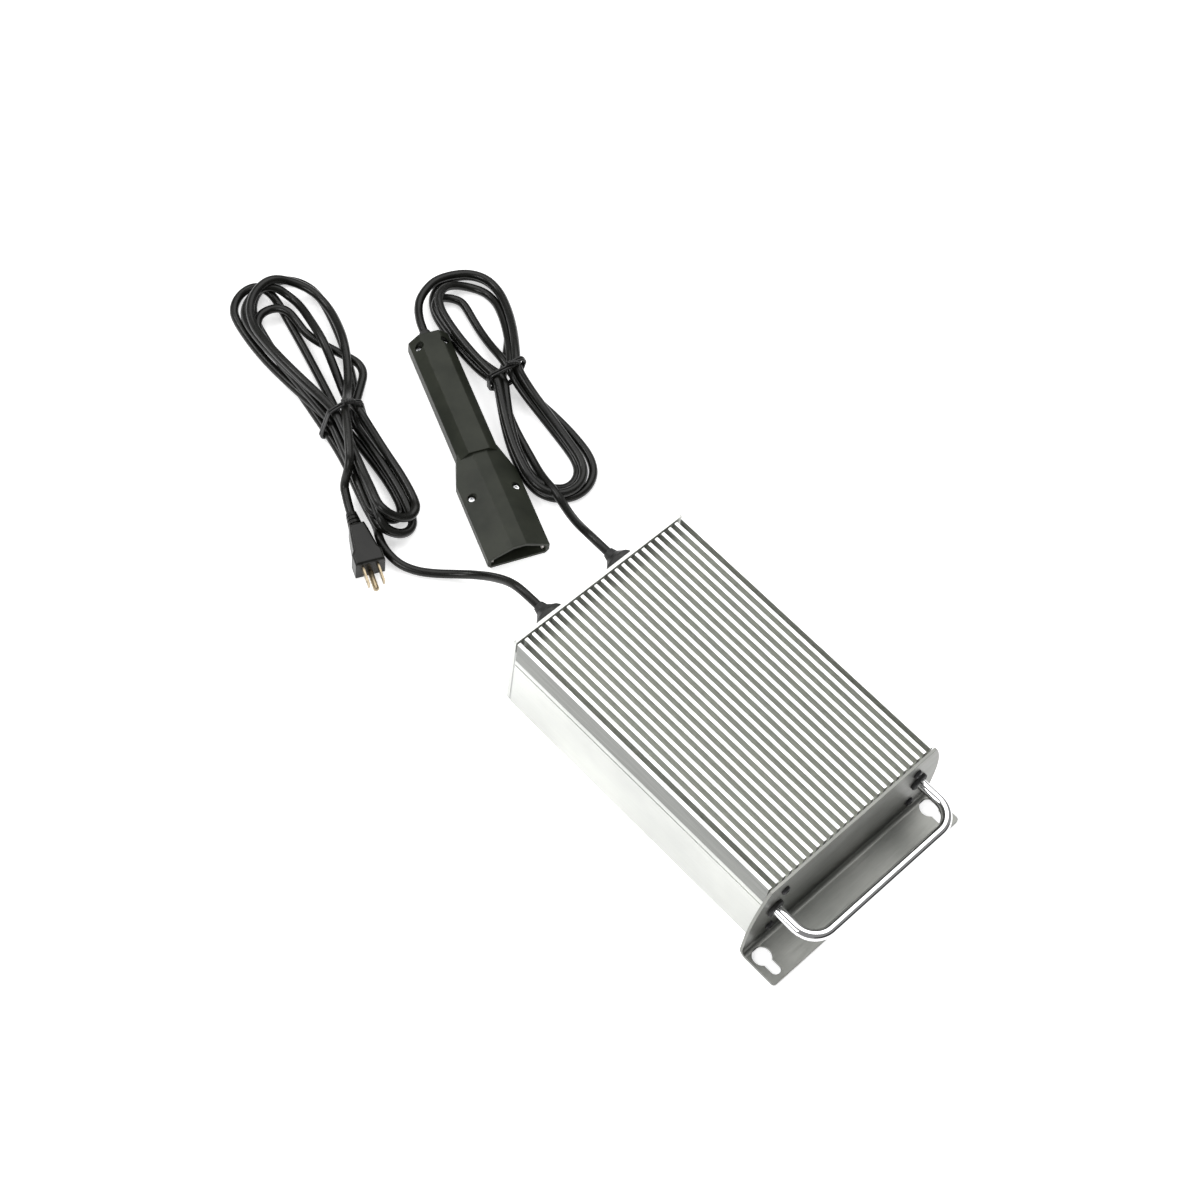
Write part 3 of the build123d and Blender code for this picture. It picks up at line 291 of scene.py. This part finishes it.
class Bundle:
    """A tied bundle's plan, along a bent middle line through its bottom (-1), its tie (0) and its top (1)."""

    def __init__(self, bottom, middle, top):
        self.middle = middle
        self.slope = [(t - b) / 2 for b, t in zip(bottom, top)]
        self.bend = [(t + b) / 2 - m for b, m, t in zip(bottom, middle, top)]

    def place(self, u, side):
        """The plan point at u along the bundle, side mm to the right of its middle line."""
        x, y = (m + s * u + b * u * u for m, s, b in zip(self.middle, self.slope, self.bend))
        tx, ty = (s + 2 * b * u for s, b in zip(self.slope, self.bend))
        size = math.hypot(tx, ty)
        return x + side * ty / size, y - side * tx / size

    def lobe(self, half, end, radius, shift, tie_in, tie_out, enter, bulge=0.0, last=180):
        """One loop from the tie, round the upper (half 1) or lower (half -1) end, and back to the tie.

        It runs out on the enter side (-1 left, 1 right), round an arc of that radius, and back on the other side.
        """
        unit = math.dist(self.place(0, 0), self.place(half * end, 0)) / end
        centre = end - radius / unit
        points = []
        for share in (0.0, 0.2, 0.42, 0.64, 0.84):
            points.append((share * centre, tie_in + (shift + enter * radius - tie_in) * math.sin(share * math.pi / 2)))
        for degrees in range(0, last + 1, 30):
            turn = math.radians(degrees)
            points.append((centre + radius / unit * math.sin(turn), shift + enter * radius * math.cos(turn)))
        if last == 180:
            for share in (0.84, 0.64, 0.42, 0.2):
                side = tie_out + (shift - enter * radius - tie_out) * math.sin(share * math.pi / 2)
                points.append((share * centre, side + bulge * math.exp(-(((share - 0.42) / 0.25) ** 2))))
        return [self.place(half * u, side) for u, side in points]


def cord_samples(points):
    """Points on the quadratic spline of these control points: eight for each control point but the two ends."""
    p = np.array(points, float)
    mids = (p[:-1] + p[1:]) / 2
    t = np.linspace(0, 1, 8)[None, :, None]
    return (1 - t) ** 2 * mids[:-1, None] + 2 * t * (1 - t) * p[1:-1, None] + t**2 * mids[1:, None]


TIE_WIRE_R = 1.2
TIE_LIFT = 3.4  # the strands rise this much at the tie, so that its wire fits under them
TIE_LIFT_REACH = 38.0
LAYING_PASSES = 5
MAX_SAG = 1.0  # how far the cord hangs below the straight line between its neighbouring points


def free_height(x, y, tie):
    """The height of a cord with nothing but the floor, and near the tie its wire, under it."""
    return FLOOR_CORD_Z + TIE_LIFT * math.exp(-((math.dist((x, y), tie) / TIE_LIFT_REACH) ** 2))


def lay_cord(before, runs, tie):
    """Heights for a plan, run by run: each run of cord rests on the floor or on cord already there."""
    done = [tuple(p) for p in before]
    start = len(done)
    for run in runs:
        laid = cord_samples(done[:-1]).reshape(-1, 3)
        fresh = [[x, y, free_height(x, y, tie)] for x, y in run]
        for _ in range(LAYING_PASSES):
            line = [list(p) for p in done[-2:]] + fresh + [fresh[-1]]
            groups = cord_samples(line)[1:]
            for i, group in enumerate(groups[: len(fresh)]):
                lack = 0.0
                for x, y, z in group:
                    r2 = (laid[:, 0] - x) ** 2 + (laid[:, 1] - y) ** 2
                    under = r2 < CORD_D**2
                    if under.any():
                        need = (laid[under, 2] + np.sqrt(CORD_D**2 - r2[under])).max()
                        lack = max(lack, need - z)
                fresh[i][2] += 0.8 * lack
        heights = [p[2] for p in fresh]
        for i in range(1, len(fresh) - 1):
            fresh[i][2] = max(heights[i], 0.5 * (heights[i - 1] + heights[i + 1]) - MAX_SAG)
        done += [tuple(p) for p in fresh]
    return done[start:]


def spline_object(name, points, radius, material):
    """One open NURBS cord along points in millimetres."""
    curve = bpy.data.curves.new(name, "CURVE")
    curve.dimensions = "3D"
    curve.resolution_u = 8
    curve.bevel_depth = radius * MM
    curve.bevel_resolution = 6
    curve.use_fill_caps = True
    spline = curve.splines.new("NURBS")
    spline.points.add(len(points) - 1)
    for point, (x, y, z) in zip(spline.points, points):
        point.co = (x * MM, y * MM, z * MM, 1.0)
    spline.order_u = 3
    spline.use_endpoint_u = True
    curve.materials.append(material)
    return add_object(name, curve)


def spline_mesh(points, radius, material):
    """The mesh of such a cord, or only the points of its middle line where the radius is 0."""
    probe = spline_object("probe", points, radius, material)
    mesh = bpy.data.meshes.new_from_object(probe)
    bpy.data.objects.remove(probe)
    return mesh


# the mains lead's hank: up on the left, over the top, down on the right, four times, then down to the plug
hank = Bundle((-63.0, 314.0), (-21.5, 427.0), (22.0, 585.0))
# each turn: the upper loop's end, radius, shift and bulge; the lower loop's end, radius and shift;
# the offset at the tie going up and coming down
HANK_TURNS = [
    (1.01, 31.0, 9.0, 0.0, 0.96, 16.0, 5.0, -15.0, 14.0),
    (1.00, 20.0, -16.0, 0.0, 0.84, 14.0, 0.5, -7.5, 0.0),
    (0.84, 17.0, -9.0, 34.0, 1.00, 14.0, 4.5, -11.0, 7.0),
    (0.95, 25.0, -7.0, 0.0, 0.92, 17.0, 8.0, -3.5, 11.0),
]
HANK_LAST_UP = -7.0
hank_runs = [[hank.place(u, side) for u, side in ((-0.82, -9.5), (-0.66, -11.5), (-0.46, -12.5), (-0.24, -12.0))]]
hank_next_ups = [turn[7] for turn in HANK_TURNS[1:]] + [HANK_LAST_UP]
for turn, next_up in zip(HANK_TURNS, hank_next_ups):
    end, radius, shift, bulge, low_end, low_radius, low_shift, up, down = turn
    hank_runs.append(hank.lobe(1, end, radius, shift, up, down, -1, bulge))
    hank_runs.append(hank.lobe(-1, low_end, low_radius, low_shift, down, next_up, 1))
hank_runs.append(hank.lobe(1, 0.95, 35.0, 4.0, HANK_LAST_UP, 2.0, -1))
hank_runs.append([hank.place(u, side) for u, side in ((0.0, 1.0), (-0.14, -5.0), (-0.28, -11.0), (-0.41, -16.5))])
plug_end = [(-63.0, 378.5, 14.5), (-67.9, 369.5, 12.5), (-71.9, 361.9, 11.0), (-75.4, 354.7, 10.5)]
hank_points = lay_cord(AC_ROUTE[-4:], hank_runs, hank.place(0, 0))
mains_route = AC_ROUTE + hank_points + plug_end
ac_cord = spline_object("mains_lead", mains_route, CORD_R, cord_skin)

# the output lead's loops: up on the right, over the top, down on the left, then to the connector
loops = Bundle((79.5, 249.0), (112.3, 371.0), (150.0, 490.0))
# each turn: the upper loop's end, radius and shift; the lower loop's; the offset at the tie going up and coming down
LOOP_TURNS = [
    (1.00, 31.0, 7.5, 0.99, 30.0, 2.0, -5.0, -8.0),
    (0.84, 14.0, -9.5, 0.91, 22.0, -3.0, 8.0, -2.0),
    (0.90, 26.0, 4.0, 0.97, 25.0, -4.0, 4.0, -9.0),
]
LOOPS_LAST_UP = 9.0
lead_in = [(66.6, 263.0, 14.6), (69.5, 276.0, 10.5), (74.0, 289.0, 6.4), (79.5, 304.0, 4.4), (84.5, 320.0, 4.0),
           (90.0, 336.0, 4.0), (97.5, 353.0, 4.0)]
loops_runs = []
loops_next_ups = [turn[6] for turn in LOOP_TURNS[1:]] + [LOOPS_LAST_UP]
for turn, next_up in zip(LOOP_TURNS, loops_next_ups):
    end, radius, shift, low_end, low_radius, low_shift, up, down = turn
    loops_runs.append(loops.lobe(1, end, radius, shift, up, down, 1))
    loops_runs.append(loops.lobe(-1, low_end, low_radius, low_shift, down, next_up, -1))
loops_runs.append(loops.lobe(1, 0.98, 30.0, 6.0, LOOPS_LAST_UP, 0.0, 1, last=90))
loops_points = lay_cord(lead_in[2:], loops_runs, loops.place(0, 0))
over_top = [(138.0, 489.5, 14.0), (125.0, 488.0, 13.0), (113.5, 483.5, 12.0)]
output_route = DC_ROUTE + lead_in + loops_points + over_top + TAIL_ROUTE
dc_cord = spline_object("output_lead", output_route, CORD_R, cord_skin)


def smooth_line(points):
    """Points along the cord's own spline, in metres."""
    mesh = spline_mesh(points, 0.0, cord_skin)
    line = [v.co.copy() for v in mesh.vertices]
    bpy.data.meshes.remove(mesh)
    return line


WRAPS = 2
WRAP_STEPS = 40
WIRE_GAP = 0.15  # between the wire and the strands
FLOOR_GAP = 0.2
TWIST_R = 0.95
TWIST_STEPS = 12


def wire_tie(name, node, line, middle, along):
    """A plastic-coated wire wound round the outline of the strands, with its two ends twisted together on top."""
    size = math.hypot(*along)
    axis = Vector((along[0] / size, along[1] / size, 0.0))
    across = Vector((axis.y, -axis.x, 0.0))
    middle = Vector((*middle, 0.0))
    offsets = [p / MM - middle for p in line]
    near = [p for p in offsets if abs(p.dot(axis)) < 7.0 and p.xy.length < 40.0]
    strands = [(p.dot(across), p.z) for p in near]
    reach = CORD_R + TIE_WIRE_R + WIRE_GAP
    points = []
    for i in range(WRAPS * WRAP_STEPS + 1):
        turn = 2 * math.pi * i / WRAP_STEPS + math.pi / 2
        c, s = math.cos(turn), math.sin(turn)
        side, z = max(strands, key=lambda strand: strand[0] * c + strand[1] * s)
        z = max(z + reach * s, TIE_WIRE_R + FLOOR_GAP)
        advance = 2.1 * TIE_WIRE_R * (i / WRAP_STEPS - WRAPS / 2)
        points.append(middle + across * (side + reach * c) + axis * advance + Vector((0, 0, z)))

    sides = [side for side, _ in strands]
    centre = (min(sides) + max(sides)) / 2
    top = max(z for _, z in strands) + CORD_R + TIE_WIRE_R
    knot = middle + across * centre + Vector((0, 0, top + TIE_WIRE_R))
    ends = []
    for phase in (0.0, math.pi):
        twist = []
        for i in range(TWIST_STEPS + 1):
            turn = phase + i * 1.05
            bend = Vector((0, 0, 1.5 * math.sin(i / TWIST_STEPS * math.pi) + 0.4))
            run = (axis * 0.35 - across * 0.94) * (-0.77 * i)
            round_it = axis * (TWIST_R * math.cos(turn)) + Vector((0, 0, TWIST_R * math.sin(turn)))
            twist.append(knot + run + bend + round_it)
        ends.append(twist)
    full = list(reversed(ends[0])) + points + ends[1]
    mesh = spline_mesh([tuple(p) for p in full], TIE_WIRE_R, tie_skin)
    for polygon in mesh.polygons:
        polygon.use_smooth = True
    wrapped = add_object(name, mesh)
    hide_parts(node)
    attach(wrapped, "root")


wire_tie("hank_wire_tie", "ac_hank_tie", smooth_line(mains_route), hank.place(0, 0), (41.0, 130.0))
wire_tie("loops_wire_tie", "dc_loops_tie", smooth_line(output_route), loops.place(0.02, 0), (33.0, 117.0))

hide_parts("ac_cord", "ac_cord_hank")
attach(ac_cord, "root")
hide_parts("dc_cord", "dc_cord_loops", "dc_cord_tail")
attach(dc_cord, "root")

# ---------------------------------------------------------------- camera, floor and light

LOOK_AT = Vector((0.0292, 0.16535, 0.0))
AZIMUTH, ELEVATION, ROLL = (math.radians(a) for a in (-52.37, 58.70, 10.17))
DISTANCE = 2.0354
level = math.cos(ELEVATION)
back = Vector((math.sin(AZIMUTH) * level, -math.cos(AZIMUTH) * level, math.sin(ELEVATION)))
right = Vector((math.cos(AZIMUTH), math.sin(AZIMUTH), 0.0))
up = back.cross(right)
image_x = math.cos(ROLL) * right + math.sin(ROLL) * up
image_y = -math.sin(ROLL) * right + math.cos(ROLL) * up
camera_data = bpy.data.cameras.new("camera")
camera_data.lens = 74.6
camera_data.sensor_width = 36.0
camera_data.clip_end = 30.0
camera = add_object("camera", camera_data)
spot = LOOK_AT + back * DISTANCE
camera.matrix_world = Matrix((
    (image_x.x, image_y.x, back.x, spot.x),
    (image_x.y, image_y.y, back.y, spot.y),
    (image_x.z, image_y.z, back.z, spot.z),
    (0.0, 0.0, 0.0, 1.0),
))
bpy.context.scene.camera = camera

floor_mesh = bpy.data.meshes.new("floor")
form = bmesh.new()
bmesh.ops.create_grid(form, x_segments=1, y_segments=1, size=14.0)
form.to_mesh(floor_mesh)
form.free()
floor = add_object("floor", floor_mesh)
floor_material, _, floor_shader = new_material("pale_floor")
floor_shader.inputs["Base Color"].default_value = (0.92, 0.92, 0.92, 1)
floor_shader.inputs["Roughness"].default_value = 0.9
floor_shader.inputs["Specular IOR Level"].default_value = 0.1
floor_shader.inputs["Emission Color"].default_value = (1, 1, 1, 1)
floor_shader.inputs["Emission Strength"].default_value = 0.55
floor_mesh.materials.append(floor_material)


def area_light(name, place, target, size, power):
    """A square white lamp at a place, turned to a target."""
    data = bpy.data.lights.new(name, "AREA")
    data.shape = "SQUARE"
    data.size = size
    data.energy = power
    light = add_object(name, data)
    light.location = place
    light.rotation_euler = (Vector(target) - Vector(place)).to_track_quat("-Z", "Y").to_euler()


# a dark card on the handle's side, seen only in reflections
card_mesh = bpy.data.meshes.new("dark_card")
card_corners = [(-0.9, -1.3, 0.12), (1.5, -1.3, 0.12), (1.5, -1.3, 0.75), (-0.9, -1.3, 0.75)]
card_mesh.from_pydata(card_corners, [], [(0, 1, 2, 3)])
dark_card = add_object("dark_card", card_mesh)
card_material, _, card_shader = new_material("dark_card")
card_shader.inputs["Base Color"].default_value = (0.01, 0.01, 0.01, 1)
card_shader.inputs["Roughness"].default_value = 0.9
card_mesh.materials.append(card_material)
dark_card.visible_camera = False
dark_card.visible_shadow = False
dark_card.visible_diffuse = False

area_light("key", (-1.7, 0.2, 1.3), (0.0, 0.15, 0.0), 0.9, 16.0)
area_light("back", (-0.68, 1.65, 1.45), (0.0, 0.3, 0.0), 0.7, 12.0)
area_light("top", (0.8, 0.7, 2.1), (0.05, 0.15, 0.0), 2.6, 42.0)

world = bpy.data.worlds.new("world")
world.use_nodes = True
world.node_tree.nodes["Background"].inputs["Color"].default_value = (1, 1, 1, 1)
world.node_tree.nodes["Background"].inputs["Strength"].default_value = 0.25
bpy.context.scene.world = world
bpy.context.scene.view_settings.view_transform = "Standard"
